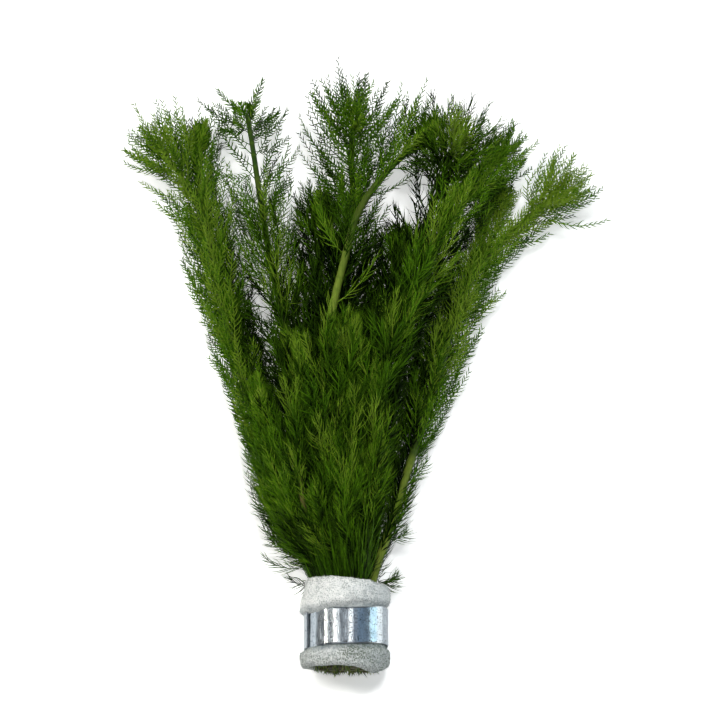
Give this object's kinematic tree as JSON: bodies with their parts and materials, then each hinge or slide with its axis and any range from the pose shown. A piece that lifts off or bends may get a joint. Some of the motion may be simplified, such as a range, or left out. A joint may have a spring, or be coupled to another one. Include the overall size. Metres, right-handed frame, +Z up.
{
  "type": "aquarium plant bunch",
  "caption": "Bunch of feathery green mato grosso milfoil shoots, cut and tied at the stalks with pale foam and a soft metal weight strip, lying on a flat surface.",
  "frame": {"origin": "middle of the weight band's flat underside, on the surface that the bunch lies on", "axes": "+Y along the bunch from the cut ends to the shoot tips, +Z up from the surface, +X across the bunch"},
  "size_m": [0.1626, 0.2068, 0.046],
  "materials": {
    "foam": "matt, open-cell, off-white, stained at its lower right",
    "metal_strip": "bright, hand-creased, scratched",
    "leaf": "wet green, thin feathery leaves on translucent stems"
  },
  "bodies": {
    "root": {"foam_wrap": "foam", "weight_band": "metal_strip", "left_outer_shoot": "leaf", "left_back_shoot": "leaf", "left_inner_shoot": "leaf", "left_short_shoot": "leaf", "left_front_shoot": "leaf", "centre_left_shoot": "leaf", "centre_fan_shoot": "leaf", "centre_right_shoot": "leaf", "short_front_shoot": "leaf", "middle_shoot": "leaf", "right_crown_shoot": "leaf", "right_feather_shoot": "leaf", "right_back_shoot": "leaf", "right_outer_shoot": "leaf"}
  },
  "joints": []
}
